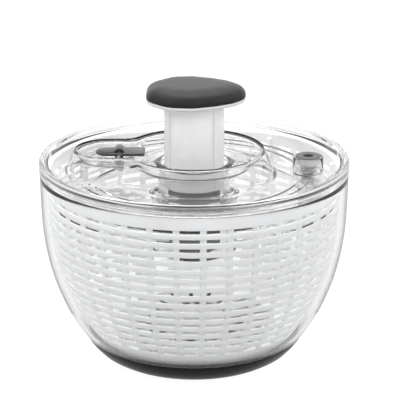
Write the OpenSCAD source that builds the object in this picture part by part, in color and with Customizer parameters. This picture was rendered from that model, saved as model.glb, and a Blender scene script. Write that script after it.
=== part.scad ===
// Pump-action salad spinner: clear bowl, slotted basket, clear lid with a push pump.
// Origin: centre of the base, on the surface it stands on. +Z up. The lock lever points to -X.

/* [Bowl] */
// Height of the lid's rim above the table
rim_z = 148; // [146:0.5:150]
// Wall thickness of the bowl
bowl_wall = 2.6; // [2:0.1:3]
// Outer radius of the ring that the bowl stands on
foot_r = 60.5; // [58:0.5:61]

/* [Basket] */
// Rows of slots in the basket's wall
slot_rows = 16; // [6:1:16]
// Slots in each row
slots_round = 36; // [12:12:36]
// Height of one slot
slot_h = 2.8; // [1.6:0.1:3.4]
// Width of the upright rib between two slots
slot_rib = 4.4; // [3:0.2:6]

/* [Lid] */
// Outer radius of the lid
lid_r = 112; // [111.9:0.1:113]
// Radius of the hole that the pump column slides in
collar_r = 24.4; // [24:0.1:25]
// Radius of the raised crest around the pump
crest_r = 50; // [49:0.5:51]
// Half the width of the lever's channel
channel_hw = 24; // [23:0.5:25]

/* [Pump] */
// Travel of the pump
stroke = 44; // [38:1:44]
// Outer radius of the pump column
column_r = 21.6; // [21:0.1:22]
// Angle of the first of the column's four grooves
groove_turn = 39; // [36:1:45]
// Rise of the twisted drive screw in one turn
screw_lead = 40; // [32:1:60]
// Rise of the soft top above its edge
pad_dome = 5; // [3:0.5:7]

/* [Lever and brake] */
// Distance from the pump's axis to the lever's pin
lever_pin_x = 54; // [52:0.5:56]
// Distance from the pump's axis to the brake button
brake_x = 82.5; // [81:0.5:84]
// Radius of the brake button
brake_r = 9.3; // [8:0.1:9.4]

/* [Hidden] */
$fn = 96;

// heights
bowl_top = rim_z - 8.4;
skirt_z = rim_z - 8;
crest_z = rim_z + 5.5;
collar_z = rim_z - 3.4;
plate_z = rim_z - 30;
column_low = rim_z - 21;
pad_z = rim_z + 41.4;
pad_plate = 2.8;
pad_side = 5.2;
cup_floor = column_low - stroke - 3.4;
head_low = rim_z - 36;
head_high = rim_z - 22;
nut_low = head_high - 6;
screw_low = nut_low - 0.6;
tower_low = screw_low - stroke - 2.8;

// basket
basket_low = 15.5;
basket_top = rim_z - 7.6;
slot_pitch = 6.5;
slot_first = basket_low + 12.9;
lug_count = 8;

// fits
run_gap = 0.06;
play = 0.3;

// springs
spring_low = head_high + 1.4;
spring_high = pad_z - 3;
spring_turns = 9;
brake_spring_low = rim_z - 12;
brake_spring_high = rim_z - 2.6;

// ---------- shared outlines and helpers ----------

// Bowl's outer wall above the base ring, as [radius, height]
wall_out = [
  [81.9, 17.5], [84.6, 21.4], [89, 28], [94.6, 38], [99.7, 50], [104.4, 64],
  [108.1, 80], [110.5, 98], [111.4, 118], [111.7, bowl_top]
];
// Bowl's outer surface inside the base ring
floor_out = [
  [0, 3.4], [57, 3.4], [63.6, 4.2], [69.6, 6.6], [74.4, 10], [77.6, 13.6], [80, 17.5]
];
// Basket's outer wall
basket_out = [
  [70, basket_low], [72.6, basket_low + 1], [78.6, 23], [83.6, 30], [89, 39.4], [94.2, 51],
  [99.1, 64], [102.8, 80], [105, 98], [105.9, 118], [106.1, basket_top]
];

// Points of a wall moved inwards by t, from the top down
function inset(path, t) = [
  for (i = [len(path) - 1 : -1 : 0])
    let (
      a = path[max(i - 1, 0)],
      b = path[min(i + 1, len(path) - 1)],
      d = [b[0] - a[0], b[1] - a[1]],
      n = norm(d)
    )
    [path[i][0] - t * d[1] / n, i == len(path) - 1 ? path[i][1] : path[i][1] + t * d[0] / n]
];

// Rounded plan of the pump's pad, broad towards -X, moved outwards by d
module pad_plan(d) {
  offset(r = 18 + d, $fn = 48) polygon([
    [-16.2, -6], [-10, -12.6], [-3, -13.4], [19, -1],
    [19, 1], [-3, 13.4], [-10, 12.6], [-16.2, 6]
  ]);
}

// One polyhedron for a round wire along a coil
module coil(r, wire, turns, low, high, steps, sides) {
  count = turns * steps;
  ring = [for (i = [0 : count]) for (k = [0 : sides - 1])
    let (
      a = 360 * i / steps,
      b = 360 * k / sides,
      rr = r + wire / 2 * cos(b),
      z = low + wire / 2 + (high - low - wire) * i / count + wire / 2 * sin(b)
    )
    [rr * cos(a), rr * sin(a), z]];
  sides_f = [for (i = [0 : count - 1]) for (k = [0 : sides - 1])
    let (n = (k + 1) % sides)
    [i * sides + k, i * sides + n, (i + 1) * sides + n, (i + 1) * sides + k]];
  start = [for (k = [sides - 1 : -1 : 0]) k];
  end = [for (k = [0 : sides - 1]) count * sides + k];
  polyhedron(points = ring, faces = concat([start], sides_f, [end]), convexity = 10);
}

// Stadium from the pump's axis out to the channel's round end, tapering from hw0 to hw1
module channel_body(z0, hw0, z1, hw1) {
  end_x = -62;
  hull() {
    translate([end_x, 0, z0]) cylinder(r1 = hw0, r2 = hw1, h = z1 - z0, $fn = 64);
    translate([-20, 0, z0]) cylinder(r1 = hw0, r2 = hw1, h = z1 - z0, $fn = 64);
  }
}

// ---------- bowl ----------

module bowl() {
  inner_low = [
    [77.6, 17.8], [74.8, 14], [71.4, 11], [67.4, 8.6], [62.4, 6.8], [56.6, 6], [0, 6]
  ];
  color([0.9, 0.93, 0.94, 0.3]) difference() {
    rotate_extrude() polygon(concat(
      floor_out,
      wall_out,
      [for (p = inset(wall_out, bowl_wall)) if (p[1] > 20) p],
      inner_low
    ));
    // socket for the pivot pin
    translate([0, 0, 4.4]) cylinder(r = 3, h = 10);
  }
}

module base_ring() {
  color([0.05, 0.05, 0.055]) rotate_extrude() polygon([
    [50, 0], [foot_r, 0], [62.6, 0.4], [67.4, 2], [73, 5.6], [77.4, 10.4], [80.2, 14.4],
    [81.9, 17.5], [80, 17.5], [77.6, 13.6], [74.4, 10], [69.6, 6.6], [63.6, 4.2],
    [57, 3.4], [50, 3.4]
  ]);
}

module pivot_pin() {
  color([0.75, 0.75, 0.76]) {
    // root in the bowl's floor, shoulder under the basket, and the pin itself
    translate([0, 0, 4.4]) cylinder(r = 3, h = 1.6);
    translate([0, 0, 6]) cylinder(r1 = 6, r2 = 4.4, h = basket_low - 6.3);
    translate([0, 0, basket_low - 0.3]) cylinder(r = 2.5, h = 2.4);
    translate([0, 0, basket_low + 2.1]) cylinder(r1 = 2.5, r2 = 1.4, h = 1);
  }
}

// ---------- basket ----------

module basket_slots() {
  pitch = 360 / slots_round;
  for (row = [0 : slot_rows - 1])
    let (
      z = slot_first + row * slot_pitch,
      r = lookup(z, [for (p = basket_out) [p[1], p[0]]]),
      w = 2 * PI * r / slots_round - slot_rib
    )
    for (k = [0 : slots_round / 2 - 1])
      rotate([0, 0, (k + 0.85) * pitch])
        for (side = [0, 180])
          rotate([0, 0, side])
            translate([r - 14, -w / 2, z]) cube([24, w, slot_h]);
}

module basket() {
  color([0.95, 0.95, 0.95]) {
    difference() {
      rotate_extrude() polygon(concat(
        // socket that turns on the pivot pin
        [[2.5 + run_gap, basket_low]],
        basket_out,
        [for (p = inset(basket_out, 1.8)) if (p[1] > 18.5) p],
        [
          [70, basket_low + 2.1], [7, basket_low + 2.1], [7, basket_low + 6.5],
          [6, basket_low + 6.9], [0, basket_low + 6.9], [0, basket_low + 3.4],
          [2.5 + run_gap, basket_low + 3.4]
        ]
      ));
      basket_slots();
      // drain slots in the floor
      for (k = [0 : 23])
        rotate([0, 0, k * 15 + 3]) translate([30, -1.4, basket_low - 2]) cube([30, 2.8, 6]);
    }
    // upright ribs that the drive plate turns
    for (k = [0 : lug_count - 1])
      rotate([0, 0, k * 360 / lug_count + 11])
        translate([101.8, -2, plate_z - 5]) cube([3, 4, 22]);
  }
}

// ---------- lid ----------

module lid_round() {
  rotate_extrude() polygon([
    // skirt and rim
    [lid_r, skirt_z], [lid_r, rim_z - 1.2], [lid_r - 0.9, rim_z], [108.8, rim_z],
    [107.4, rim_z - 1], [105.6, rim_z - 3.4], [103, rim_z - 5.4], [99, rim_z - 7.6],
    [92, rim_z - 10.2], [86, rim_z - 11.4],
    // beads on the dish
    [85.4, rim_z - 10.7], [84.2, rim_z - 10.7], [83.6, rim_z - 12], [78, rim_z - 12.3],
    [77.5, rim_z - 11.7], [76.5, rim_z - 11.7], [76, rim_z - 12.4], [61, rim_z - 12.6],
    // crest
    [58, rim_z - 10.6], [crest_r + 1.4, crest_z - 1.2], [crest_r + 0.6, crest_z],
    [crest_r - 0.8, crest_z], [crest_r - 1.8, crest_z - 1], [41, rim_z - 4.6],
    [39, rim_z - 6], [31, rim_z - 6], [28, rim_z - 5], [26.4, collar_z],
    // collar's bore
    [collar_r, collar_z], [collar_r, rim_z - 44], [collar_r + 2, rim_z - 44],
    // underside
    [collar_r + 2, rim_z - 10], [28.6, rim_z - 7.8], [39.6, rim_z - 7.8],
    [42.6, rim_z - 5.8], [crest_r - 1.6, crest_z - 4], [crest_r - 0.6, crest_z - 3.4],
    [56.2, rim_z - 12], [58.4, rim_z - 14.5], [84, rim_z - 14],
    [92.4, rim_z - 12.2], [99.6, rim_z - 9.6], [103.8, rim_z - 7.2],
    // locating lip inside the bowl's rim
    [107.2, rim_z - 4.6], [107.2, rim_z - 14], [108.6, rim_z - 14], [108.8, rim_z - 4],
    [110, rim_z - 4], [110, skirt_z]
  ]);
}

module lid_shell() {
  ear_y = 11.2;
  color([0.9, 0.93, 0.94, 0.3]) difference() {
    union() {
      difference() {
        union() {
          lid_round();
          // channel for the lever: outer skin
          difference() {
            channel_body(rim_z - 14, channel_hw + 9, crest_z, channel_hw + 1);
            channel_body(rim_z - 14.1, channel_hw + 6.4, crest_z - 2, channel_hw - 1.2);
            translate([0, 0, rim_z - 20]) cylinder(r = 44, h = 40);
          }
          // channel's floor and inner wall
          difference() {
            channel_body(rim_z - 4, channel_hw - 1, crest_z - 1, channel_hw);
            translate([0, 0, rim_z - 20]) cylinder(r = 44, h = 40);
          }
        }
        channel_body(rim_z - 2, channel_hw - 3, crest_z + 1, channel_hw - 1.4);
      }
      // ears that carry the lever's pin
      for (s = [-1, 1])
        translate([-lever_pin_x - 3.4, s * (ear_y + 1.6) - 1.2, rim_z - 2.6])
          cube([6.8, 2.4, 7.4]);
      // collar around the brake button
      translate([brake_x, 0, rim_z - 13.4]) cylinder(r = 10.9, h = 13.2);
    }
    // pin's bore through both ears
    translate([-lever_pin_x, 20, rim_z + 2.6]) rotate([90, 0, 0]) cylinder(r = 1.2, h = 40);
    // brake button's well and stem hole
    translate([brake_x, 0, rim_z - 12]) cylinder(r = 9.6, h = 20);
    translate([brake_x, 0, rim_z - 16]) cylinder(r = 3.1, h = 10);
  }
}

module guide_ring() {
  color([0.8, 0.8, 0.81]) difference() {
    translate([0, 0, rim_z - 12]) cylinder(r = collar_r, h = 6);
    translate([0, 0, rim_z - 13]) cylinder(r = column_r + play, h = 8);
  }
  // keys that run in the column's grooves
  color([0.8, 0.8, 0.81]) for (k = [0 : 3])
    rotate([0, 0, groove_turn + k * 90])
      translate([column_r - 0.7, -0.9, rim_z - 12]) cube([2, 1.8, 6]);
}

module retaining_ring() {
  color([0.2, 0.2, 0.21]) translate([0, 0, rim_z - 43.4]) difference() {
    cylinder(r = collar_r + 4.2, h = 1.8);
    translate([0, 0, -1]) cylinder(r = collar_r + 2, h = 4);
  }
}

module thrust_washer() {
  color([0.7, 0.7, 0.72]) translate([0, 0, head_high + 0.3]) difference() {
    cylinder(r = 13, h = 1);
    translate([0, 0, -1]) cylinder(r = 7.4, h = 4);
  }
}

module return_spring() {
  color([0.75, 0.75, 0.77])
    coil(10.4, 1.4, spring_turns, spring_low, spring_high, 20, 6);
}

// ---------- pump ----------

module pump_grip() {
  // layers of the dome, as [height of the layer's top, how far its edge is drawn in]
  layers = [
    [3.4, 0], [pad_side + pad_dome * 0.4, 1.9], [pad_side + pad_dome * 0.72, 4.8],
    [pad_side + pad_dome, 10]
  ];
  color([0.2, 0.2, 0.21]) translate([0, 0, pad_z + pad_plate]) hull() {
    linear_extrude(0.4) pad_plan(-0.7);
    for (a = layers)
      translate([0, 0, a[0] - (a[1] == 0 ? 2.4 : 0.4)])
        linear_extrude(a[1] == 0 ? 2.4 : 0.4) pad_plan(-a[1]);
  }
}

module pump_base() {
  color([0.8, 0.81, 0.82]) difference() {
    union() {
      translate([0, 0, pad_z]) linear_extrude(pad_plate) pad_plan(0.1);
      // boss that fills the column's top
      translate([0, 0, pad_z - 3]) cylinder(r = column_r - 2, h = 4);
    }
    // seat of the drive screw and holes of its two screws
    translate([0, 0, pad_z - 4]) cylinder(r = 6.4, h = 3);
    for (s = [-1, 1])
      translate([s * 3.6, 0, pad_z - 2]) cylinder(r = 1.2, h = 8);
  }
}

module pump_column() {
  color([0.88, 0.89, 0.9, 0.8]) difference() {
    translate([0, 0, column_low]) cylinder(r = column_r, h = pad_z - column_low);
    translate([0, 0, column_low - 1]) cylinder(r = column_r - 2, h = pad_z);
    for (k = [0 : 3])
      rotate([0, 0, groove_turn + k * 90])
        translate([column_r - 1, -1.2, column_low - 1]) cube([3, 2.4, pad_z - column_low - 1.5]);
  }
}

module drive_screw() {
  // twisted strip, turned so that it stands square to the nut's slot
  length = pad_z - 3 - screw_low;
  color([0.86, 0.86, 0.84]) {
    translate([0, 0, screw_low])
      linear_extrude(height = length, twist = -360 * length / screw_lead, slices = 60, segments = 4)
        square([10.4, 3.4], center = true);
    translate([0, 0, pad_z - 3]) cylinder(r = 6.4, h = 2);
  }
}

module pump_screws() {
  color([0.6, 0.6, 0.62]) for (s = [-1, 1]) translate([s * 3.6, 0, 0]) {
    translate([0, 0, pad_z - 1]) cylinder(r = 1.2, h = pad_plate);
    translate([0, 0, pad_z + pad_plate - 1.2]) cylinder(r = 1.2, h = 1.2);
  }
}

// ---------- drive plate and clutch ----------

module drive_plate() {
  cup_out = collar_r + 7;
  cup_in = collar_r + 5;
  color([0.9, 0.93, 0.94, 0.3]) difference() {
    rotate_extrude() polygon([
      [12.2, cup_floor - 2], [cup_out - 1, cup_floor - 2], [cup_out, cup_floor - 1],
      [cup_out, plate_z - 3], [cup_out + 2, plate_z], [76, plate_z], [77, plate_z],
      [103.3, plate_z], [103.3, plate_z + 2], [88, plate_z + 2], [87, plate_z + 4.2],
      [78, plate_z + 4.2], [77, plate_z + 2], [cup_in + 1, plate_z + 2],
      // neck that turns on the lid's collar
      [cup_in, plate_z + 5], [collar_r + 2 + play, plate_z + 5],
      [collar_r + 2 + play, rim_z - 41.2], [cup_in, rim_z - 41.2],
      [cup_in, cup_floor], [12.2, cup_floor]
    ]);
    // notches that take the basket's ribs
    for (k = [0 : lug_count - 1])
      rotate([0, 0, k * 360 / lug_count + 11])
        translate([101, -2.5, plate_z - 2]) cube([6, 5, 8]);
    // screw holes in the cup's floor
    for (k = [0 : 2])
      rotate([0, 0, k * 120]) translate([15.4, 0, cup_floor - 4]) cylinder(r = 1.2, h = 8);
  }
}

module clutch_housing() {
  color([0.17, 0.17, 0.18]) difference() {
    union() {
      // tube that the drive screw runs down into
      translate([0, 0, tower_low]) cylinder(r = 12, h = head_low - tower_low + 2);
      // flange that stands on the cup's floor
      translate([0, 0, cup_floor]) cylinder(r = 18.4, h = 2.4);
      // ratchet head
      translate([0, 0, head_low]) cylinder(r = 18.4, h = head_high - head_low - 2);
    }
    translate([0, 0, tower_low + 1.6]) cylinder(r = 7, h = 60);
    // ratchet track, with a tooth flank every 30 degrees
    translate([0, 0, head_low + 2]) cylinder(r = 14.4, h = 30);
    for (k = [0 : 11])
      rotate([0, 0, k * 30]) translate([0, 0, head_low + 2]) linear_extrude(30)
        polygon([[12, 0], [16.2, 0], [14.2, 5.2], [11, 4]]);
    for (k = [0 : 2])
      rotate([0, 0, k * 120]) translate([15.4, 0, cup_floor - 1]) cylinder(r = 1.2, h = 5);
  }
}

module clutch_cap() {
  color([0.17, 0.17, 0.18]) translate([0, 0, head_high - 2]) difference() {
    cylinder(r = 18.4, h = 2);
    translate([0, 0, -1]) cylinder(r = 7, h = 4);
  }
}

module hub_screws() {
  color([0.6, 0.6, 0.62]) for (k = [0 : 2])
    rotate([0, 0, k * 120]) translate([15.4, 0, 0]) {
      translate([0, 0, cup_floor - 2.6]) cylinder(r = 1.2, h = 5);
      translate([0, 0, cup_floor + 2.4]) cylinder(r = 2.2, h = 1.2);
    }
}

module drive_nut() {
  color([0.8, 0.8, 0.78]) difference() {
    union() {
      translate([0, 0, nut_low]) cylinder(r = 13.4, h = 3);
      translate([0, 0, nut_low - 3.6]) cylinder(r = 7.2, h = 3.8);
    }
    // slot around the screw's twisted strip
    translate([0, 0, nut_low - 6])
      linear_extrude(height = 12, twist = -360 * 12 / screw_lead, slices = 12, segments = 4)
        rotate([0, 0, 360 * (nut_low - 6 - screw_low) / screw_lead])
          square([11.6, 4.6], center = true);
    // pivot holes of the two pawls
    for (s = [0, 180])
      rotate([0, 0, s]) translate([0, 10.4, nut_low - 4]) cylinder(r = 0.9, h = 8);
  }
}

module drive_pawls() {
  color([0.25, 0.25, 0.26]) for (s = [0, 180]) rotate([0, 0, s]) {
    // pivot peg in the nut's disc, and the claw below it
    translate([0, 10.4, nut_low - 3.2]) cylinder(r = 0.85, h = 6);
    translate([0, 0, nut_low - 3.2]) linear_extrude(3)
      polygon([[-1.8, 9], [1.6, 8.7], [5.2, 9.6], [6.4, 12.2], [5.2, 12.6], [-1.4, 11.8]]);
  }
}

module pawl_springs() {
  color([0.75, 0.75, 0.77]) for (s = [0, 180]) rotate([0, 0, s])
    translate([0, 0, nut_low - 2.4]) linear_extrude(1.4)
      polygon([[-5.9, 5.9], [-5.55, 5.6], [1.2, 8.35], [1.1, 8.62]]);
}

// ---------- lever ----------

module lever_pin() {
  color([0.75, 0.75, 0.77]) translate([-lever_pin_x, 14, rim_z + 2.6])
    rotate([90, 0, 0]) cylinder(r = 1.2, h = 28);
}

module lock_lever() {
  color([0.2, 0.2, 0.21]) difference() {
    union() {
      // tongue with a round outer end and a bevelled inner end
      translate([0, 0, rim_z + 2.5]) linear_extrude(1.8) {
        translate([-62.2, 0]) circle(r = 8.8);
        polygon([[-62.2, -8.8], [-36.6, -8.8], [-35.6, -7.4], [-35.6, 7.4], [-36.6, 8.8], [-62.2, 8.8]]);
      }
      // raised pad for the thumb
      translate([-62.6, 0, rim_z + 4.2]) cylinder(r1 = 6.8, r2 = 5.8, h = 0.9);
      // short barrel on the middle of the tongue
      translate([-lever_pin_x, 5.6, rim_z + 2.6]) rotate([90, 0, 0]) cylinder(r = 4, h = 11.2);
    }
    translate([-lever_pin_x, 20, rim_z + 2.6]) rotate([90, 0, 0])
      cylinder(r = 1.2 + run_gap, h = 40);
  }
}

// ---------- brake ----------

module brake_button() {
  color([0.2, 0.2, 0.21]) translate([brake_x, 0, 0]) difference() {
    union() {
      translate([0, 0, rim_z - 1.6]) cylinder(r = brake_r, h = 1.5);
      translate([0, 0, rim_z - 0.1]) cylinder(r1 = brake_r, r2 = brake_r - 0.7, h = 0.7);
    }
    // finger dimple
    translate([0, 0, rim_z + 8.9]) sphere(r = 9.2);
  }
}

module brake_stem() {
  color([0.65, 0.65, 0.66]) translate([brake_x, 0, 0]) {
    // stem, ending in a disc under the button
    translate([0, 0, rim_z - 20]) cylinder(r = 2.8, h = 18.4);
    translate([0, 0, brake_spring_high]) cylinder(r = brake_r - 0.4, h = 1);
    // skirt that runs in the well, around the spring
    translate([0, 0, rim_z - 5]) difference() {
      cylinder(r = brake_r - 0.4, h = 3);
      translate([0, 0, -1]) cylinder(r = 7.4, h = 3.4);
    }
  }
}

module brake_spring() {
  color([0.75, 0.75, 0.77]) translate([brake_x, 0, 0])
    coil(5.4, 0.9, 5, brake_spring_low, brake_spring_high, 16, 6);
}

module brake_clip() {
  color([0.75, 0.75, 0.77]) translate([brake_x, 0, rim_z - 15.6]) difference() {
    cylinder(r = 4.8, h = 0.9);
    translate([0, 0, -1]) cylinder(r = 2.8, h = 3);
    translate([-1.6, 0, -1]) cube([3.2, 8, 3]);
  }
}

module brake_pad() {
  color([0.1, 0.1, 0.1]) translate([brake_x, 0, rim_z - 22.4]) difference() {
    cylinder(r = 4.6, h = 5);
    translate([0, 0, 2.4]) cylinder(r = 2.8, h = 5);
  }
}

bowl();
base_ring();
pivot_pin();
basket();
lid_shell();
guide_ring();
retaining_ring();
thrust_washer();
return_spring();
lever_pin();
brake_spring();
pump_grip();
pump_base();
pump_column();
drive_screw();
pump_screws();
drive_plate();
clutch_housing();
clutch_cap();
hub_screws();
drive_nut();
drive_pawls();
pawl_springs();
lock_lever();
brake_button();
brake_stem();
brake_clip();
brake_pad();
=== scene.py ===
"""Pump-action salad spinner: the looks of its shells, basket, pump, springs and lock lever."""
import math

import bmesh
import bpy
import numpy as np
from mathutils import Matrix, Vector


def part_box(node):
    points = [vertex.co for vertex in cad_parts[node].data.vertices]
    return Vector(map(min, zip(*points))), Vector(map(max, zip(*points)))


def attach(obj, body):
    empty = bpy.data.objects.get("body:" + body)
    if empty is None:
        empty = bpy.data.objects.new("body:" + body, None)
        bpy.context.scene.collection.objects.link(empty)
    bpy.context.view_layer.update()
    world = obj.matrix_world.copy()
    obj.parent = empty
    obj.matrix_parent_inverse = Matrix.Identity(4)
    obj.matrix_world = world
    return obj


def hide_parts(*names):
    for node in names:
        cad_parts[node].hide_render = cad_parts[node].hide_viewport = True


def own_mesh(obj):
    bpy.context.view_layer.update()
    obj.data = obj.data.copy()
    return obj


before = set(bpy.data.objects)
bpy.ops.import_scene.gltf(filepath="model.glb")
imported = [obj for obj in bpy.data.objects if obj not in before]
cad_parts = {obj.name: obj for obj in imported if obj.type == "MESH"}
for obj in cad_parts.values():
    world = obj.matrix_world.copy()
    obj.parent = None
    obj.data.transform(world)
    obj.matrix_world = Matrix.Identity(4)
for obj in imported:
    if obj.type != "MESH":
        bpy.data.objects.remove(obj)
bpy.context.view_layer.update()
scene = bpy.context.scene
MM = 0.001

# ---------- sizes taken from the frame, in millimetres ----------


def box_mm(node):
    """Lowest and highest corner of a CAD node."""
    low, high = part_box(node)
    return low / MM, high / MM


bowl_high = box_mm("bowl")[1]
foot_high = box_mm("base_ring")[1]
lid_high = box_mm("lid_shell")[1]
tray_high = box_mm("pump_base")[1]
basket_low, basket_high = box_mm("basket")
grip_low, grip_high = box_mm("pump_grip")
column_low, column_high = box_mm("pump_column")
button_low, button_high = box_mm("brake_button")
pin_low, pin_high = box_mm("lever_pin")

CREST_RISE = 5.5  # of the lid's crest above its rim
RIM_Z = lid_high.z - CREST_RISE
LID_R = lid_high.x
BRAKE_X = (button_low.x + button_high.x) / 2
BRAKE_R = (button_high.x - button_low.x) / 2
PIN_X = (pin_low.x + pin_high.x) / 2
PIN_Z = (pin_low.z + pin_high.z) / 2
COLUMN_R = column_high.x
PAD_Z = column_high.z

# the lid's collar has a bore of COLLAR_R; its crest is a circle with the lever's channel to one side
COLLAR_R = 24.4
CREST_R = 50.0
CHANNEL_R = 23.6
CHANNEL_END = -62.0
# rows and columns of the basket's slots, their pitch and height, and the width left between them
SLOT_ROWS, SLOT_COLS = 16, 36
SLOT_PITCH, SLOT_H, SLOT_RIB = 6.5, 2.8, 4.4
SLOT_FIRST = basket_low.z + 12.9
SLOT_TURN = 8.5
LUGS, LUG_TURN = 8, 11.0
# drain slots in the basket's floor: their number, the angle of the first spoke between them and half
# a slot's width, then the radii of the spokes' ends and of the plain middle
DRAINS, DRAIN_TURN, DRAIN_HALF = 24, 10.5, 1.4
SPOKE_IN, SPOKE_OUT, MIDDLE_R = 29, 61, 37


# ---------- helpers: outlines ----------


def spline(points, n=6):
    """Catmull-Rom curve through open points, n steps for each span."""
    p = [np.array(q, float) for q in points]
    p = [2 * p[0] - p[1]] + p + [2 * p[-1] - p[-2]]
    out = []
    for a, b, c, d in zip(p, p[1:], p[2:], p[3:]):
        for t in np.arange(n) / n:
            out.append(0.5 * (2 * b + (c - a) * t + (2 * a - 5 * b + 4 * c - d) * t * t
                              + (3 * b - a - 3 * c + d) * t ** 3))
    out.append(p[-2])
    return [tuple(q) for q in out]


def inset(path, t):
    """An open wall path moved to its left by t."""
    p = np.array(path, float)
    d = np.gradient(p, axis=0)
    d /= np.linalg.norm(d, axis=1)[:, None]
    return [tuple(q) for q in p + t * np.stack([-d[:, 1], d[:, 0]], 1)]


def fillet(points, radius=0.5, n=3, limit=25):
    """A closed outline with each corner sharper than limit degrees rounded."""
    p = [np.array(q, float) for q in points]
    out = []
    for i, b in enumerate(p):
        a, c = p[i - 1], p[(i + 1) % len(p)]
        u, v = a - b, c - b
        lu, lv = np.linalg.norm(u), np.linalg.norm(v)
        turn = math.degrees(math.acos(max(-1, min(1, float(u @ v) / (lu * lv + 1e-12)))))
        if 180 - turn < limit or b[0] < 1e-6:
            out.append(tuple(b))
            continue
        r = min(radius, 0.45 * lu, 0.45 * lv)
        s, e = b + u / lu * r, b + v / lv * r
        for t in np.linspace(0, 1, n + 1):
            out.append(tuple((1 - t) ** 2 * s + 2 * t * (1 - t) * b + t * t * e))
    return out


# ---------- helpers: meshes ----------


def revolve(outline, steps=192, centre=(0, 0)):
    """Verts and faces of a closed (radius, height) outline turned about an upright axis."""
    verts, rings = [], []
    for r, z in outline:
        if r < 1e-6:
            rings.append([len(verts)] * steps)
            verts.append((centre[0], centre[1], z))
        else:
            rings.append(list(range(len(verts), len(verts) + steps)))
            verts += [(centre[0] + r * math.cos(a), centre[1] + r * math.sin(a), z)
                      for a in (2 * math.pi * k / steps for k in range(steps))]
    return verts, ring_faces(rings, steps)


def ring_faces(rings, steps, closed=True):
    """Faces between neighbouring rings of vertex numbers; a ring of one number is a pole."""
    faces = []
    pairs = list(zip(rings, rings[1:])) + ([(rings[-1], rings[0])] if closed else [])
    for a, b in pairs:
        if a[0] == a[-1] and b[0] == b[-1]:
            continue
        for k in range(steps):
            n = (k + 1) % steps
            quad = []
            for v in (a[k], a[n], b[n], b[k]):
                if v not in quad:
                    quad.append(v)
            faces.append(quad)
    return faces


def joined(*parts):
    """Several (verts, faces) as one."""
    verts, faces = [], []
    for v, f in parts:
        faces += [[i + len(verts) for i in q] for q in f]
        verts += list(v)
    return verts, faces


def layered(sections):
    """A closed solid through equal-sized plan loops [(x, y), ...] at heights: [(z, loop), ...]."""
    n = len(sections[0][1])
    verts = [(x, y, z) for z, loop in sections for x, y in loop]
    rings = [list(range(i * n, i * n + n)) for i in range(len(sections))]
    faces = ring_faces(rings, n, closed=False)
    return verts, faces + [rings[0][::-1], rings[-1]]


def turned(mesh, angle):
    """The same (verts, faces) turned about the pump's axis by angle degrees."""
    c, s = math.cos(math.radians(angle)), math.sin(math.radians(angle))
    return [(c * x - s * y, s * x + c * y, z) for x, y, z in mesh[0]], mesh[1]


def piece(name, mesh, body, material, replaces=(), bevel=0, sharp=32):
    """A named object from (verts, faces) in millimetres, riding on a body."""
    verts, faces = mesh
    data = bpy.data.meshes.new(name)
    data.from_pydata([(x * MM, y * MM, z * MM) for x, y, z in verts], [], faces)
    data.validate()
    face_outwards(data)
    obj = bpy.data.objects.new(name, data)
    scene.collection.objects.link(obj)
    if bevel:
        m = obj.modifiers.new("edges", "BEVEL")
        m.width, m.segments = bevel * MM, 2
        m.limit_method, m.angle_limit = "ANGLE", math.radians(sharp)
    smooth(obj, 60 if bevel else sharp)
    data.materials.append(material)
    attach(obj, body)
    if replaces:
        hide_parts(*replaces)
    return obj


def face_outwards(data):
    """Turns every face of a mesh outwards."""
    bm = bmesh.new()
    bm.from_mesh(data)
    bmesh.ops.recalc_face_normals(bm, faces=bm.faces)
    bm.to_mesh(data)
    bm.free()


def smooth(obj, angle):
    """Smooth shading, with edges sharper than angle degrees kept."""
    obj.data.shade_smooth()
    obj.data.set_sharp_from_angle(angle=math.radians(angle))


# ---------- materials ----------


def nodes_of(name):
    """A new material with its node tree, shader and output."""
    m = bpy.data.materials.new(name)
    m.use_nodes = True
    t = m.node_tree
    return m, t, t.nodes["Principled BSDF"], t.nodes["Material Output"]


def add(tree, kind, **values):
    """A new node with its properties set."""
    n = tree.nodes.new(kind)
    for k, v in values.items():
        setattr(n, k, v)
    return n


def noise(tree, scale, detail=3.0, stretch=None):
    """A noise texture in object space; scale is in features for each metre."""
    coord = add(tree, "ShaderNodeTexCoord")
    n = add(tree, "ShaderNodeTexNoise")
    n.inputs["Scale"].default_value = scale
    n.inputs["Detail"].default_value = detail
    if stretch:
        m = add(tree, "ShaderNodeMapping")
        m.inputs["Scale"].default_value = stretch
        tree.links.new(coord.outputs["Object"], m.inputs["Vector"])
        tree.links.new(m.outputs["Vector"], n.inputs["Vector"])
    else:
        tree.links.new(coord.outputs["Object"], n.inputs["Vector"])
    return n


def ramp(tree, source, stops):
    """A colour ramp with (position, grey or colour) stops, fed by source."""
    r = add(tree, "ShaderNodeValToRGB")
    e = r.color_ramp.elements
    while len(e) < len(stops):
        e.new(0.5)
    for i, (pos, col) in enumerate(stops):
        e[i].position = pos
        e[i].color = (col, col, col, 1) if not isinstance(col, tuple) else (*col, 1)
    tree.links.new(source, r.inputs["Fac"])
    return r


def bumped(tree, shader, source, strength, distance):
    """A bump from source on the shader's normal; distance is in metres."""
    b = add(tree, "ShaderNodeBump")
    b.inputs["Strength"].default_value = strength
    b.inputs["Distance"].default_value = distance
    tree.links.new(source, b.inputs["Height"])
    tree.links.new(b.outputs["Normal"], shader.inputs["Normal"])


def seen_by_eye(tree):
    """1 for rays that the eye sends, straight or through clear plastic, and 0 for the others."""
    path = add(tree, "ShaderNodeLightPath")
    either = add(tree, "ShaderNodeMath", operation="MAXIMUM")
    tree.links.new(path.outputs["Is Camera Ray"], either.inputs[0])
    tree.links.new(path.outputs["Is Transmission Ray"], either.inputs[1])
    return either.outputs["Value"]


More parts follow.
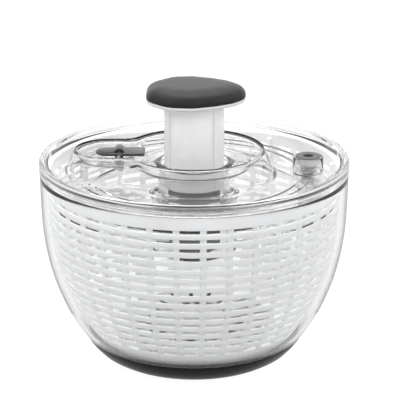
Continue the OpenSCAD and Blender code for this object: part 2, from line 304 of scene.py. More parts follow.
def plastic(name, dark, light, rough=(0.3, 0.4), grain=900, bump=0.08, gloss=0.5):
    """Moulded plastic: a slow drift of colour, fine grain and a drift of roughness."""
    m, t, p, _ = nodes_of(name)
    slow = noise(t, 40, 4)
    fine = noise(t, grain, 3)
    t.links.new(ramp(t, slow.outputs["Fac"], [(0.3, dark), (0.7, light)]).outputs["Color"],
                p.inputs["Base Color"])
    t.links.new(ramp(t, fine.outputs["Fac"], [(0.3, rough[0]), (0.7, rough[1])]).outputs["Color"],
                p.inputs["Roughness"])
    bumped(t, p, fine.outputs["Fac"], bump, 0.0002)
    p.inputs["Specular IOR Level"].default_value = gloss
    return m


def clear(name, tint=(0.97, 0.975, 0.98), ior=1.42, rough=0.01, wave=0.05, passed=1.0):
    """Clear moulded plastic; passed is how much light each of its surfaces lets through for shadows."""
    m, t, p, out = nodes_of(name)
    slow = noise(t, 26, 2)
    paler = tuple(min(1, c + 0.012) for c in tint)
    t.links.new(ramp(t, slow.outputs["Fac"], [(0.3, tint), (0.7, paler)]).outputs["Color"],
                p.inputs["Base Color"])
    p.inputs["Transmission Weight"].default_value = 1.0
    p.inputs["Roughness"].default_value = rough
    p.inputs["IOR"].default_value = ior
    bumped(t, p, slow.outputs["Fac"], wave, 0.0006)
    path = add(t, "ShaderNodeLightPath")
    through = add(t, "ShaderNodeBsdfTransparent")
    through.inputs["Color"].default_value = (passed, passed, passed, 1)
    mix = add(t, "ShaderNodeMixShader")
    t.links.new(path.outputs["Is Shadow Ray"], mix.inputs["Fac"])
    t.links.new(p.outputs["BSDF"], mix.inputs[1])
    t.links.new(through.outputs["BSDF"], mix.inputs[2])
    t.links.new(mix.outputs["Shader"], out.inputs["Surface"])
    return m


def metal(name, tone=0.62, rough=0.28):
    """Drawn or turned steel with fine scratches."""
    m, t, p, _ = nodes_of(name)
    n = noise(t, 1200, 2, (1, 1, 0.15))
    t.links.new(ramp(t, n.outputs["Fac"], [(0.3, tone * 0.86), (0.7, tone)]).outputs["Color"],
                p.inputs["Base Color"])
    t.links.new(ramp(t, n.outputs["Fac"], [(0.3, rough), (0.7, rough + 0.1)]).outputs["Color"],
                p.inputs["Roughness"])
    p.inputs["Metallic"].default_value = 1.0
    bumped(t, p, n.outputs["Fac"], 0.05, 0.0001)
    return m


M_BOWL = clear("bowl_clear", tint=(0.86, 0.867, 0.874), passed=0.98)
M_LID = clear("lid_clear", tint=(1, 1, 1), ior=1.36, passed=1.0)
M_PLATE = clear("plate_clear", tint=(0.995, 0.995, 0.995), ior=1.25, wave=0.03, passed=0.78)
M_FOOT = plastic("foot_rubber", 0.004, 0.007, (0.2, 0.3), 500, 0.03, gloss=0.08)
M_BASKET = plastic("basket_white", 0.86, 0.9, (0.28, 0.38), 700, 0.05)
# the basket's floor: the same white moulding, painted a darker grey as shade so the slots above it look
# dark
M_FLOOR_PAINTED_SHADE = plastic("basket_floor_painted_shade", 0.52, 0.56, (0.3, 0.4), 700, 0.05)
M_LIGHT = plastic("tray_light", 0.52, 0.56, (0.3, 0.4), 800, 0.06)
M_HUB_LIGHT = plastic("hub_light", 0.66, 0.72, (0.35, 0.45), 800, 0.06)
M_FROST = plastic("column_frosted", 0.66, 0.7, (0.3, 0.4), 900, 0.05)
M_GRIP = plastic("soft_grip", 0.01, 0.016, (0.42, 0.52), 2400, 0.2, gloss=0.15)
M_LEVER = plastic("lever_grip", 0.014, 0.02, (0.42, 0.52), 2400, 0.15, gloss=0.3)
# black, for the button's dimple and for the painted dark refraction line along the lid's crest
M_BLACK_AND_PAINTED_LINE = plastic("black_and_painted_line", 0.002, 0.004, (0.45, 0.55), 900, 0.05, gloss=0.1)
M_RING = plastic("ring_grey", 0.3, 0.36, (0.4, 0.5), 1000, 0.08)
M_SKIRT = plastic("skirt_grey", 0.5, 0.56, (0.35, 0.45), 900, 0.05)
M_BUTTON = plastic("button_grip", 0.06, 0.08, (0.42, 0.52), 2400, 0.15, gloss=0.3)
M_DARK = plastic("hub_dark", 0.045, 0.06, (0.4, 0.5), 1200, 0.12)
M_STEEL = metal("steel_wire")

# soft-touch pieces look paler where they curve away
for material, sheen in ((M_GRIP, 0.16), (M_LEVER, 0.35)):
    shader = material.node_tree.nodes["Principled BSDF"]
    shader.inputs["Sheen Weight"].default_value = sheen
    shader.inputs["Sheen Roughness"].default_value = 0.35

# ---------- bowl ----------

WALL = [(81.9, 17.5), (84.6, 21.4), (89, 28), (94.6, 38), (99.7, 50), (104.4, 64),
        (108.1, 80), (110.5, 98), (111.4, 118), (111.7, bowl_high.z - 0.6)]
FLOOR_OUT = [(57, 3.4), (63.6, 4.2), (69.6, 6.6), (74.4, 10), (77.6, 13.6), (80, 17.4)]
FLOOR_IN = [(79.3, 19), (77.2, 16.4), (74.6, 13.6), (71.2, 10.8), (67.2, 8.5), (62.4, 6.8), (56.6, 6)]
# the wall's thickness, at the foot and at the top, and the height where it starts to thin
WALL_T, WALL_T_TOP, THINS_FROM = 2.6, 1.5, 40
wall = spline(WALL)
inner = [(r + np.interp(z, [THINS_FROM, bowl_high.z], [0, WALL_T - WALL_T_TOP]), z)
         for r, z in inset(wall, WALL_T)][::-1]
bowl_outline = ([(0, 3.4)] + spline(FLOOR_OUT, 3) + wall
                + [(111.3, bowl_high.z), (110.6, bowl_high.z)]
                + [q for q in inner if q[1] > 21] + spline(FLOOR_IN, 3) + [(0, 6)])
piece("bowl_wall", revolve(bowl_outline, 240), "base", M_BOWL, ["bowl"], sharp=50)

foot_outline = fillet(
    [(50, 0), (60.5, 0), (62.6, 0.4), (67.4, 2), (73, 5.6), (77.4, 10.4), (80.2, 14.4),
     (foot_high.x, foot_high.z), (80.1, foot_high.z)]
    + [(r - 0.1, z - 0.1) for r, z in FLOOR_OUT[::-1][1:]] + [(50, 3.3)], 0.8)
piece("foot_band", revolve(foot_outline, 240), "base", M_FOOT, ["base_ring"])

# ---------- basket ----------

BASKET = [(70, basket_low.z), (72.6, basket_low.z + 1), (78.6, 23), (83.6, 30), (89, 39.4),
          (94.2, 51), (99.1, 64), (102.8, 80), (105, 98), (105.9, 118), (106.1, basket_high.z)]
side = np.array(spline(BASKET, 8))


def basket_r(z):
    """Outer radius of the basket's wall at height z."""
    return float(np.interp(z, side[:, 1], side[:, 0]))


# thickness of the hoops, and how far in the ribs start and how thick they are
HOOP_T, RIB_SET, RIB_T = 1.7, 0.9, 1.2


def wall_normal(z):
    """Outward unit normal of the basket's wall at height z, as (radial, upright)."""
    dr = basket_r(z + 1) - basket_r(z - 1)
    n = math.hypot(2, dr)
    return 2 / n, -dr / n


def hoop(low, high):
    """Outline of one hoop: rounded in front, flat inside."""
    pts = []
    for t, d in ((0, 0.45), (0.12, 0.12), (0.32, 0), (0.68, 0), (0.88, 0.12), (1, 0.45),
                 (1, HOOP_T - 0.3), (0.88, HOOP_T), (0.12, HOOP_T), (0, HOOP_T - 0.3)):
        z = low + (high - low) * t
        nr, nz = wall_normal(z)
        pts.append((basket_r(z) - d * nr, z - d * nz))
    return pts


slots = [(SLOT_FIRST + k * SLOT_PITCH, SLOT_FIRST + k * SLOT_PITCH + SLOT_H) for k in range(SLOT_ROWS)]
hoops = [hoop(a[1], b[0]) for a, b in zip(slots, slots[1:])]

# the plain top band with its rolled rim, and the plain foot of the wall
band_low = slots[-1][1]
band = ([hoop(band_low, band_low + 3)[k] for k in (0, 1, 2)]
        + [(basket_r(z), z) for z in np.linspace(band_low + 2, basket_high.z - 2.4, 5)]
        + [(107.0, basket_high.z - 2.1), (107.2, basket_high.z - 1.1), (106.9, basket_high.z - 0.2),
           (106.2, basket_high.z), (104.6, basket_high.z), (104, basket_high.z - 0.5),
           (103.9, basket_high.z - 2)]
        + [(basket_r(z) - HOOP_T, z) for z in np.linspace(basket_high.z - 4, band_low + 0.4, 5)])
foot_top = slots[0][0]
foot_path = [(r, z) for r, z in side if z < foot_top - 0.6]
foot_nr = wall_normal(foot_top - 1)[0]
foot = ([(60.6, basket_low.z + 0.3), (66, basket_low.z + 0.3), (69, basket_low.z + 0.05)] + foot_path
        + [(basket_r(foot_top - 0.3) - 0.1, foot_top - 0.3), (basket_r(foot_top) - 0.5, foot_top),
           (basket_r(foot_top) - HOOP_T * foot_nr, foot_top)]
        + [(r - HOOP_T * 0.75, z + HOOP_T * 0.6) for r, z in foot_path[::-1]
           if z + HOOP_T * 0.6 < foot_top - 0.8]
        + [(68.5, basket_low.z + 2.3), (60.6, basket_low.z + 2.3)])


def upright(angle):
    """One upright rib behind the hoops, following the wall."""
    zs = np.linspace(foot_top - 1.2, band_low + 1.2, 34)
    verts, rows = [], []
    for z in zs:
        r = basket_r(z)
        nr, nz = wall_normal(z)
        half = SLOT_RIB / 2
        rows.append(list(range(len(verts), len(verts) + 6)))
        for depth, across in ((RIB_SET, -half + 0.3), (RIB_SET, half - 0.3), (RIB_SET + 0.3, half),
                              (RIB_SET + RIB_T, half), (RIB_SET + RIB_T, -half), (RIB_SET + 0.3, -half)):
            rr, zz = r - depth * nr, z - depth * nz
            a = angle + across / rr
            verts.append((rr * math.cos(a), rr * math.sin(a), zz))
    faces = ring_faces(rows, 6, closed=False) + [rows[0][::-1], rows[-1]]
    return verts, faces


ribs = [upright(math.radians(SLOT_TURN + (k + 0.5) * 360 / SLOT_COLS)) for k in range(SLOT_COLS)]
piece("basket_hoops", joined(*[revolve(h, 240) for h in hoops]), "basket", M_BASKET,
      ["basket"], sharp=50)
piece("basket_ribs", joined(*ribs), "basket", M_BASKET, sharp=50)
piece("basket_band", revolve(band, 240), "basket", M_BASKET, sharp=50)
piece("basket_foot", revolve(foot, 240), "basket", M_BASKET, sharp=50)


def spoke(k):
    """One spoke of the floor, between two drain slots."""
    a = math.radians(k * 360 / DRAINS + DRAIN_TURN)
    loops = []
    for z, trim in ((fz + 0.3, 0.3), (fz + 0.6, 0), (fz + 2, 0), (fz + 2.3, 0.3)):
        loop = []
        for r, sign in ((SPOKE_IN, -1), (SPOKE_OUT, -1), (SPOKE_OUT, 1), (SPOKE_IN, 1)):
            w = sign * (math.pi * r / DRAINS - DRAIN_HALF - trim)
            loop.append((r * math.cos(a) - w * math.sin(a), r * math.sin(a) + w * math.cos(a)))
        loops.append((z, loop))
    return layered(loops)


# floor: a plain middle with its socket, and the spokes, in the basket's white plastic painted darker grey
# as shade
fz = basket_low.z
middle = fillet([(2.6, fz), (8, fz), (9, fz + 0.3), (MIDDLE_R, fz + 0.3), (MIDDLE_R, fz + 2.3),
                 (7.6, fz + 2.3), (7.2, fz + 6), (6.2, fz + 6.9), (0, fz + 6.9), (0, fz + 3.4),
                 (2.6, fz + 3.4)], 0.5)
piece("basket_floor_painted_shade", joined(revolve(middle, 120), *[spoke(k) for k in range(DRAINS)]), "basket",
      M_FLOOR_PAINTED_SHADE, sharp=40)
lug = layered([(z, [(101.8, -2), (104.6, -2), (104.6, 2), (101.8, 2)]) for z in (113, 135)])
piece("basket_lugs", joined(*[turned(lug, LUG_TURN + k * 360 / LUGS) for k in range(LUGS)]),
      "basket", M_BASKET, bevel=0.4)

# ---------- lid ----------

ANGLES = 360
theta = np.arange(ANGLES) * 2 * math.pi / ANGLES


def keyhole(x, y):
    """Distance to the crest's outline: a circle joined to the lever's round-ended channel."""
    a = np.hypot(x, y) - CREST_R
    t = np.clip(x, CHANNEL_END, 0)
    b = np.hypot(x - t, y) - CHANNEL_R
    k = 7.0
    h = np.clip(0.5 + 0.5 * (b - a) / k, 0, 1)
    return b * (1 - h) + a * h - k * h * (1 - h)


def step(low, high, v):
    """Smooth step of v from 0 at low to 1 at high."""
    t = np.clip((v - low) / (high - low), 0, 1)
    return t * t * (3 - 2 * t)


def soft_max(a, b, k):
    """The larger of a and b, blended where they are within k of each other."""
    h = np.clip(0.5 + 0.5 * (a - b) / k, 0, 1)
    return b * (1 - h) + a * h + k * h * (1 - h)


# heights above the rim: over the distance outside the crest's line, and over the distance from the axis
CREST_OUT = [(-1, CREST_RISE), (0.4, CREST_RISE), (1.0, 5.1), (1.7, 3.9), (8, -10.6), (10, -15),
             (14, -24), (200, -400)]
CREST_IN = [(-200, -6), (-11, -6), (-9.4, -5), (-8.4, -3.8), (-1.9, 4.4), (-1.3, 5.1),
            (-0.6, CREST_RISE), (1, CREST_RISE)]
CHANNEL_IN = [(-200, -2), (-4.2, -2), (-3.4, -1.6), (-2.9, -0.6), (-1.9, 4.4), (-1.3, 5.1),
              (-0.6, CREST_RISE), (1, CREST_RISE)]
COLLAR = [(24, -3.4), (26.2, -3.4), (28.2, -5), (31, -6), (200, -6)]
DISH = [(0, -12.6), (75.5, -12.6), (76.4, -12.2), (77.5, -12.1), (78.4, -12.4), (83.1, -12.2),
        (84.1, -11.7), (85.2, -11.5), (86.2, -11.7), (92, -10.2), (99, -7.6), (103, -5.4),
        (105.6, -3.4), (107.4, -1), (108.2, -0.3), (109.2, 0), (110.8, 0), (111.5, -0.4), (111.95, -1.2)]


def curve(points, v):
    """Height of the line through points at v."""
    p = np.array(points, float)
    return np.interp(v, p[:, 0], p[:, 1])


def lid_top(r, a):
    """Height of the lid's upper side."""
    x, y = r * np.cos(a), r * np.sin(a)
    d = keyhole(x, y)
    outside = soft_max(curve(CREST_OUT, d), curve(DISH, r), 1.2)
    channel = step(36, 47, -x)
    inside = curve(CREST_IN, d) * (1 - channel) + curve(CHANNEL_IN, d) * channel
    inside = np.where(r < 34, curve(COLLAR, r), inside)
    return RIM_Z + np.where(d > 0, outside, inside)


def crest_radius(d):
    """Distance from the axis, at each angle, of the line that lies d outside the crest."""
    low, high = np.full(ANGLES, 20.0), np.full(ANGLES, 125.0)
    for _ in range(40):
        mid = (low + high) / 2
        out = keyhole(mid * np.cos(theta), mid * np.sin(theta)) > d
        high, low = np.where(out, mid, high), np.where(out, low, mid)
    return low


# rings of vertices: some at set distances from the crest's line, the others at set radii
near_crest = [-11.6, -10.4, -9.4, -8.6, -7, -5.4, -4.4, -3.8, -3.3, -2.9, -2.4, -1.9, -1.5, -1.1,
              -0.7, -0.2, 0.3, 0.7, 1.1, 1.5, 2, 2.8, 4, 5.2, 6.4, 7.4, 8.4, 9.4, 10.6]
circles = [24.7, 25.4, 26.1, 26.8, 27.6, 28.4, 29.6, 31, 33, 36, 38.4, 39.4, 40.6, 42, 44, 46, 53,
           57, 61, 65, 69, 73, 75.7, 76.0, 76.3, 76.9, 77.5, 77.9, 78.3, 81, 83.3, 83.7, 84.0, 84.6,
           85.2, 85.6, 86.1, 89, 92, 95.5, 99, 101, 103, 104.4, 105.6, 106.6, 107.4, 107.9, 108.4,
           108.9, 109.5, 110.2, 110.9, 111.4, 111.8]
stations = np.stack([np.full(ANGLES, c) for c in circles] + [crest_radius(d) for d in near_crest])
stations.sort(axis=0)
above = np.stack([lid_top(row, theta) for row in stations])
crest_d = np.stack([keyhole(row * np.cos(theta), row * np.sin(theta)) for row in stations])
near_half = 1 - step(-16, 4, stations * np.sin(theta))
# the skin thins under the front half of the crest
SKIN_T, CREST_THINS_BY = 1.7, 0.6
below = above - SKIN_T + CREST_THINS_BY * near_half * np.exp(-(crest_d / 3) ** 2)


def flat(points):
    """Rings of vertices that are level and round, from (radius, height)."""
    return [(np.full(ANGLES, r), np.full(ANGLES, h)) for r, h in points]


# round the whole section: top, skirt, locating ring, underside, collar
lid_rows = list(zip(stations, above))
lid_rows += flat([(LID_R, RIM_Z - 2), (LID_R, RIM_Z - 7.8), (LID_R - 0.2, RIM_Z - 8),
                  (111.3, RIM_Z - 8), (111.1, RIM_Z - 7.8), (110.2, RIM_Z - 2.2)])
lid_rows += flat([(108.8, RIM_Z - 2), (108.6, RIM_Z - 4), (108.4, RIM_Z - 5.9), (108.3, RIM_Z - 6),
                  (107.9, RIM_Z - 6), (107.8, RIM_Z - 5.9), (107.6, RIM_Z - 4), (107.1, RIM_Z - 2.4)])
under = [(row, h) for row, h in zip(stations, below) if 27 < row.min() and row.max() < 106.8]
lid_rows += under[::-1]
lid_rows += flat([(26.4, RIM_Z - 9.6), (26.4, RIM_Z - 43.7), (26.1, RIM_Z - 44), (24.7, RIM_Z - 44),
                  (COLLAR_R, RIM_Z - 43.7), (COLLAR_R, RIM_Z - 3.8)])
lid_verts = [(r[k] * math.cos(theta[k]), r[k] * math.sin(theta[k]), h[k])
             for r, h in lid_rows for k in range(ANGLES)]
rings = [list(range(i * ANGLES, (i + 1) * ANGLES)) for i in range(len(lid_rows))]
piece("lid_dome", (lid_verts, ring_faces(rings, ANGLES)), "lid", M_LID, ["lid_shell"],
      sharp=55)

# painted dark refraction line along the crest: a black strip, finest at the front and thickest at the back,
# standing in for the dark line that refraction gives the clear crest
PAINTED_LINE_FINE, PAINTED_LINE_THICK, PAINTED_LINE_SIDES = 0.14, 1.0, 10
line_r = crest_radius(0)
line_t = PAINTED_LINE_FINE + (PAINTED_LINE_THICK - PAINTED_LINE_FINE) * step(-6, 14, line_r * np.sin(theta))
painted_line_verts = []
for r0, t0, a in zip(line_r, line_t, theta):
    for j in range(PAINTED_LINE_SIDES):
        b = 2 * math.pi * j / PAINTED_LINE_SIDES
        r = r0 + t0 * math.cos(b)
        painted_line_verts.append((r * math.cos(a), r * math.sin(a),
                           RIM_Z + CREST_RISE + t0 * (math.sin(b) - 0.45)))
painted_line_rings = [list(range(k * PAINTED_LINE_SIDES, (k + 1) * PAINTED_LINE_SIDES)) for k in range(ANGLES)]
piece("crest_painted_line", (painted_line_verts, ring_faces(painted_line_rings, PAINTED_LINE_SIDES)), "lid", M_BLACK_AND_PAINTED_LINE,
      sharp=60)

# collar around the brake button
well = fillet([(9.6, RIM_Z - 12), (9.6, RIM_Z - 0.2), (10.9, RIM_Z - 0.2), (10.9, RIM_Z - 12.6),
               (3.1, RIM_Z - 12.6), (3.1, RIM_Z - 11.9)], 0.5)
piece("brake_well", revolve(well, 96, (BRAKE_X, 0)), "lid", M_LID, sharp=50)


def ear(s):
    """Small upright ear around one end of the lever's pin."""
    r = 1.5
    outer = [(PIN_X + r * math.cos(a), PIN_Z + r * math.sin(a)) for a in np.linspace(0, math.pi, 24)]
    outer += [(PIN_X - 2, RIM_Z - 2.2), (PIN_X + 2, RIM_Z - 2.2)]
    y0, y1 = s * 11.9, s * 13.9
    m = len(outer)
    verts = [(x, y0, h) for x, h in outer] + [(x, y1, h) for x, h in outer]
    rows = [list(range(m)), list(range(m, 2 * m))]
    return verts, ring_faces(rows, m, closed=False) + [rows[0][::-1], rows[1]]


# boss under the lever's channel
post = fillet([(0, RIM_Z - 10.6), (3.2, RIM_Z - 10.6), (3.4, RIM_Z - 8), (4.4, RIM_Z - 4.6),
               (4.4, RIM_Z - 2.2), (0, RIM_Z - 2.2)], 0.4)
piece("lever_post", revolve(post, 64, (PIN_X, 0)), "lid", M_SKIRT, sharp=50)
piece("lever_ears", joined(ear(-1), ear(1)), "lid", M_LID, bevel=0.3)

# ---------- pump ----------

# plan of the pad: this outline moved outwards by PAD_ROUND
PAD_CORE = [(-16.2, -6), (-10, -12.6), (-3, -13.4), (8, -9.4), (15.6, -4.6), (19, 0),
            (15.6, 4.6), (8, 9.4), (-3, 13.4), (-10, 12.6), (-16.2, 6)]
PAD_ROUND = 18


def pad_loop(d, n=160):
    """Plan of the pad as seen from above, moved outwards by d: blunt towards -X, round tip at +X."""
    r = PAD_ROUND + d
    out = []
    for k in range(n):
        a = 2 * math.pi * k / n
        ux, uy = math.cos(a), math.sin(a)
        px, py = max(PAD_CORE, key=lambda q: q[0] * ux + q[1] * uy)
        out.append((px + r * ux, py + r * uy))
    # even spacing along the outline
    p = np.array(out)
    q = np.vstack([p, p[:1]])
    s = np.concatenate([[0], np.cumsum(np.hypot(*np.diff(q, axis=0).T))])
    t = np.arange(n) * s[-1] / n
    return list(zip(np.interp(t, s, q[:, 0]), np.interp(t, s, q[:, 1])))


def pad_solid(profile):
    """A solid on the pad's plan from (inset, height) steps, closed at both ends."""
    return layered([(h, pad_loop(-d)) for d, h in profile])


gz = grip_low.z
dome = grip_high.z - gz
grip_profile = [(1.3, gz + 0.02), (0.5, gz + 0.15), (0.15, gz + 0.6), (0, gz + 1.3), (0, gz + 2.4),
                (0.2, gz + 3.5), (0.6, gz + 4.6), (1.2, gz + 5.6), (2.1, gz + 6.6), (3.3, gz + 7.5),
                (5, gz + 8.35), (7.2, gz + 9.1), (9.6, gz + dome - 0.5), (12.4, gz + dome - 0.2),
                (15, gz + dome - 0.04), (17, gz + dome)]
piece("pump_pad", pad_solid(grip_profile), "pump", M_GRIP, ["pump_grip"], sharp=60)

tz = tray_high.z
tray_profile = [(6, tz - 2.8), (2.2, tz - 2.8), (1.2, tz - 2.6), (0.5, tz - 2.1), (0.15, tz - 1.4),
                (0.1, tz - 0.5), (0.3, tz - 0.1), (0.8, tz), (6, tz)]
# boss of the tray, inside the column's top
BOSS_R = 19.4
boss = fillet([(0, PAD_Z - 3), (BOSS_R, PAD_Z - 3), (BOSS_R, PAD_Z + 0.4), (0, PAD_Z + 0.4)], 0.5)
piece("pump_tray", joined(pad_solid(tray_profile), revolve(boss, 96)), "pump", M_LIGHT,
      ["pump_base"], sharp=60)

# the column's grooves, the angle of the first and half their width, and the column's bore
GROOVE_TURN, GROOVE_HALF, BORE_R = 39, 1.2, 19.6


def column_loop(r, groove_depth, n=360):
    """Plan of the column's surface at radius r, with its four grooves."""
    out = []
    for k in range(n):
        a = 360 * k / n
        off = abs((a - GROOVE_TURN + 45) % 90 - 45)
        half = math.degrees(GROOVE_HALF / COLUMN_R)
        cut = groove_depth * float(1 - step(half * 0.75, half * 1.35, off))
        rr = r - cut
        out.append((rr * math.cos(math.radians(a)), rr * math.sin(math.radians(a))))
    return out


outer_rows = [(column_low.z, 21.0, 1), (column_low.z + 0.6, COLUMN_R, 1), (PAD_Z - 2.6, COLUMN_R, 1),
              (PAD_Z - 2.2, COLUMN_R, 0.2), (PAD_Z - 1.8, COLUMN_R, 0), (PAD_Z - 0.02, COLUMN_R, 0)]
inner_rows = [(PAD_Z - 0.02, BORE_R, 0), (column_low.z + 0.3, BORE_R, 0), (column_low.z, 20.0, 0)]
tube_sections = [(h, column_loop(r, g)) for h, r, g in outer_rows + inner_rows]
tube_n = len(tube_sections[0][1])
tube_verts = [(x, y, h) for h, loop in tube_sections for x, y in loop]
tube_rings = [list(range(i * tube_n, (i + 1) * tube_n)) for i in range(len(tube_sections))]
piece("pump_tube", (tube_verts, ring_faces(tube_rings, tube_n)), "pump", M_FROST,
      ["pump_column"], sharp=50)

# ---------- springs ----------


def coil(r, wire, turns, low, high, steps=36, sides=10, flat_turns=0.9):
    """Round wire wound from low to high, with closed end turns."""
    count = int(turns * steps)
    verts, rows = [], []
    lead = np.arange(count + 1) / steps
    end_rise = 0.9 * wire
    climb = np.clip(lead - flat_turns, 0, turns - 2 * flat_turns) / (turns - 2 * flat_turns)
    first = low + wire / 2 + end_rise * np.clip(lead / flat_turns, 0, 1)
    last = end_rise * np.clip((lead - (turns - flat_turns)) / flat_turns, 0, 1)
    zs = first + (high - low - wire - 2 * end_rise) * climb + last
    for i in range(count + 1):
        a = 2 * math.pi * i / steps
        rows.append(list(range(len(verts), len(verts) + sides)))
        for k in range(sides):
            b = 2 * math.pi * k / sides
            rr = r + wire / 2 * math.cos(b)
            verts.append((rr * math.cos(a), rr * math.sin(a), zs[i] + wire / 2 * math.sin(b)))
    return verts, ring_faces(rows, sides, closed=False) + [rows[0][::-1], rows[-1]]


def spring(name, node, centre_x, turns, wire):
    """The coil that replaces a CAD spring, wound over that spring's height, with a mesh of its own."""
    low, high = box_mm(node)
    r = (high.x - low.x) / 2 - wire / 2
    verts, faces = coil(r, wire, turns, low.z, high.z)
    obj = piece(name, ([(x + centre_x, y, h) for x, y, h in verts], faces), "lid", M_STEEL,
                [node], sharp=60)
    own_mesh(obj)


spring("pump_spring", "return_spring", 0, 9, 1.4)
spring("button_spring", "brake_spring", BRAKE_X, 5, 0.9)

# ---------- lock lever ----------


def stadium(d, n=48):
    """Plan of the lever's tongue, moved outwards by d: round outer end, small corners at the inner end."""
    hw, x_in, x_out = 8.8 + d, -35.6 + d, -62.2
    out = [(x_out + hw * math.cos(a), hw * math.sin(a)) for a in np.linspace(math.pi / 2, 1.5 * math.pi, n)]
    c = 1.6  # radius of the corners
    for cx, cy, a0 in ((x_in - c, -hw + c, -math.pi / 2), (x_in - c, hw - c, 0)):
        out += [(cx + c * math.cos(a), cy + c * math.sin(a)) for a in np.linspace(a0, a0 + math.pi / 2, 8)]
    return out


def lying(outline, lift):
    """A revolved (radius, length) outline laid along the lever's pin, lift above it."""
    verts, faces = revolve(outline, 48)
    return [(PIN_X + x, along, PIN_Z + lift + y) for x, y, along in verts], faces


lz = PIN_Z - 0.1
tongue = layered([(lz, stadium(-0.5)), (lz + 0.25, stadium(-0.1)), (lz + 0.6, stadium(0)),
                  (lz + 1.2, stadium(0)), (lz + 1.6, stadium(-0.15)), (lz + 1.8, stadium(-0.6))])
thumb = revolve(fillet([(0, lz + 1.7), (6.8, lz + 1.7), (6.6, lz + 2.2), (5.4, lz + 2.6),
                        (0, lz + 2.75)], 0.6), 64, (-62.6, 0))
barrel = lying(fillet([(1.3, -5.6), (3.9, -5.6), (3.9, 5.6), (1.3, 5.6)], 0.6), 0.9)
sleeve = lying(fillet([(1.25, -11), (2.2, -11), (2.2, 11), (1.25, 11)], 0.3), 0)
piece("lever_tongue", joined(tongue, thumb, barrel, sleeve), "lever", M_LEVER,
      ["lock_lever"], sharp=50)

# ---------- brake button ----------

bz = button_high.z
cap_low = bz - 0.8
cap_outline = fillet([(3.6, bz - 0.35), (4.4, bz - 0.08), (5.2, bz), (BRAKE_R - 0.5, bz),
                      (BRAKE_R, bz - 0.4), (BRAKE_R, cap_low), (3.6, cap_low)], 0.2)
rim_outline = fillet([(BRAKE_R - 0.3, cap_low), (BRAKE_R - 0.1, button_low.z + 0.3),
                      (BRAKE_R - 0.5, button_low.z), (0, button_low.z), (0, cap_low - 0.5),
                      (4, cap_low - 0.5), (4, cap_low)], 0.15)
dimple_outline = fillet([(0, bz - 0.98), (1.6, bz - 0.9), (2.9, bz - 0.62), (3.7, bz - 0.28),
                         (3.7, cap_low - 0.3), (0, cap_low - 0.3)], 0.1)
piece("button_cap", revolve(cap_outline, 96, (BRAKE_X, 0)), "brake", M_BUTTON,
      ["brake_button"], sharp=50)
piece("button_rim", revolve(rim_outline, 96, (BRAKE_X, 0)), "brake", M_SKIRT, sharp=50)
piece("button_dimple", revolve(dimple_outline, 96, (BRAKE_X, 0)), "brake", M_BLACK_AND_PAINTED_LINE, sharp=50)

# ---------- CAD parts that keep their own shape ----------

KEPT = {
    "pivot_pin": M_STEEL, "guide_ring": M_BASKET, "retaining_ring": M_RING, "thrust_washer": M_STEEL,
    "lever_pin": M_STEEL, "drive_screw": M_HUB_LIGHT, "pump_screws": M_STEEL, "drive_plate": M_PLATE,
    "clutch_housing": M_DARK, "clutch_cap": M_DARK, "hub_screws": M_STEEL, "drive_nut": M_HUB_LIGHT,
    "drive_pawls": M_DARK, "pawl_springs": M_STEEL, "brake_stem": M_SKIRT, "brake_clip": M_STEEL,
    "brake_pad": M_SKIRT,
}
for node, material in KEPT.items():
    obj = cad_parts[node]
    obj.data.materials.clear()
    obj.data.materials.append(material)
    smooth(obj, 30)

# ---------- floor, light and camera ----------

FLOOR_HALF = 6  # metres
floor_data = bpy.data.meshes.new("studio_floor")
floor_data.from_pydata([(-FLOOR_HALF, -FLOOR_HALF, 0), (FLOOR_HALF, -FLOOR_HALF, 0),
                        (FLOOR_HALF, FLOOR_HALF, 0), (-FLOOR_HALF, FLOOR_HALF, 0)], [], [[0, 1, 2, 3]])
floor = bpy.data.objects.new("studio_floor", floor_data)
scene.collection.objects.link(floor)

# the floor glows: most where the eye sees it, straight or through clear plastic
GLOW_STRAIGHT, GLOW_OTHER, GLOW_MORE_THROUGH = 0.95, 0.62, 0.34
floor_white = plastic("floor_white", 0.12, 0.13, (0.6, 0.7), 200, 0.0, gloss=0.0)
ft = floor_white.node_tree
floor_shader = ft.nodes["Principled BSDF"]
floor_shader.inputs["Emission Color"].default_value = (1, 1, 1, 1)
path = add(ft, "ShaderNodeLightPath")
straight = add(ft, "ShaderNodeMapRange")
straight.inputs["To Min"].default_value = GLOW_OTHER
straight.inputs["To Max"].default_value = GLOW_STRAIGHT
through_clear = add(ft, "ShaderNodeMath", operation="MULTIPLY_ADD")
through_clear.inputs[1].default_value = GLOW_MORE_THROUGH
ft.links.new(path.outputs["Is Camera Ray"], straight.inputs["Value"])
ft.links.new(path.outputs["Is Transmission Ray"], through_clear.inputs[0])
ft.links.new(straight.outputs["Result"], through_clear.inputs[2])
ft.links.new(through_clear.outputs["Value"], floor_shader.inputs["Emission Strength"])
floor_data.materials.append(floor_white)

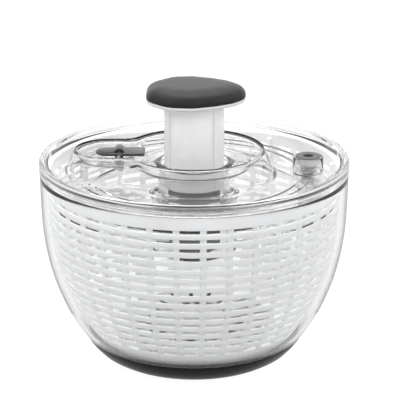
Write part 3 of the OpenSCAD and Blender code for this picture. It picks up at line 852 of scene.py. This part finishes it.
# the sky lights the object a little more from above, and the eye sees it plain white
SKY_LOW, SKY_HIGH, SKY_SEEN = 1.44, 1.45, 1.0
world = bpy.data.worlds.new("studio")
scene.world = world
world.use_nodes = True
wt = world.node_tree
background = wt.nodes["Background"]
background.inputs["Color"].default_value = (1, 1, 1, 1)
sky = add(wt, "ShaderNodeTexCoord")
up = add(wt, "ShaderNodeSeparateXYZ")
fade = add(wt, "ShaderNodeMapRange")
fade.inputs["From Min"].default_value = -0.1
fade.inputs["From Max"].default_value = 0.9
fade.inputs["To Min"].default_value = SKY_LOW
fade.inputs["To Max"].default_value = SKY_HIGH
wt.links.new(sky.outputs["Generated"], up.inputs["Vector"])
wt.links.new(up.outputs["Z"], fade.inputs["Value"])
wt.links.new(fade.outputs["Result"], background.inputs["Strength"])
backdrop = add(wt, "ShaderNodeBackground")
backdrop.inputs["Strength"].default_value = SKY_SEEN
pick = add(wt, "ShaderNodeMixShader")
wt.links.new(seen_by_eye(wt), pick.inputs["Fac"])
wt.links.new(background.outputs["Background"], pick.inputs[1])
wt.links.new(backdrop.outputs["Background"], pick.inputs[2])
wt.links.new(pick.outputs["Shader"], wt.nodes["World Output"].inputs["Surface"])


def softbox(name, place, aim, size_x, size_y, power):
    """A rectangular lamp at place, turned towards aim; metres and watts."""
    light = bpy.data.lights.new(name, "AREA")
    light.shape, light.size, light.size_y, light.energy = "RECTANGLE", size_x, size_y, power
    obj = bpy.data.objects.new(name, light)
    obj.location = place
    obj.rotation_euler = (Vector(aim) - Vector(place)).to_track_quat("-Z", "Y").to_euler()
    scene.collection.objects.link(obj)


softbox("key", (-0.7, -0.5, 0.9), (0, 0, 0.08), 0.6, 0.6, 3)
softbox("fill", (0.8, -0.4, 0.6), (0, 0, 0.08), 0.5, 0.7, 2)
softbox("top", (0, 0.35, 1.1), (0, 0, 0.1), 0.8, 0.5, 8)

LENS, AWAY = 148, 1.2
camera_data = bpy.data.cameras.new("camera")
camera_data.lens = LENS
camera = bpy.data.objects.new("camera", camera_data)
target = Vector((0.0042, 0, 0.1144))
elevation = math.radians(18.92)
camera.location = target + AWAY * Vector((0, -math.cos(elevation), math.sin(elevation)))
camera.rotation_euler = (target - camera.location).to_track_quat("-Z", "Y").to_euler()
scene.collection.objects.link(camera)
scene.camera = camera
scene.view_settings.view_transform = "Standard"
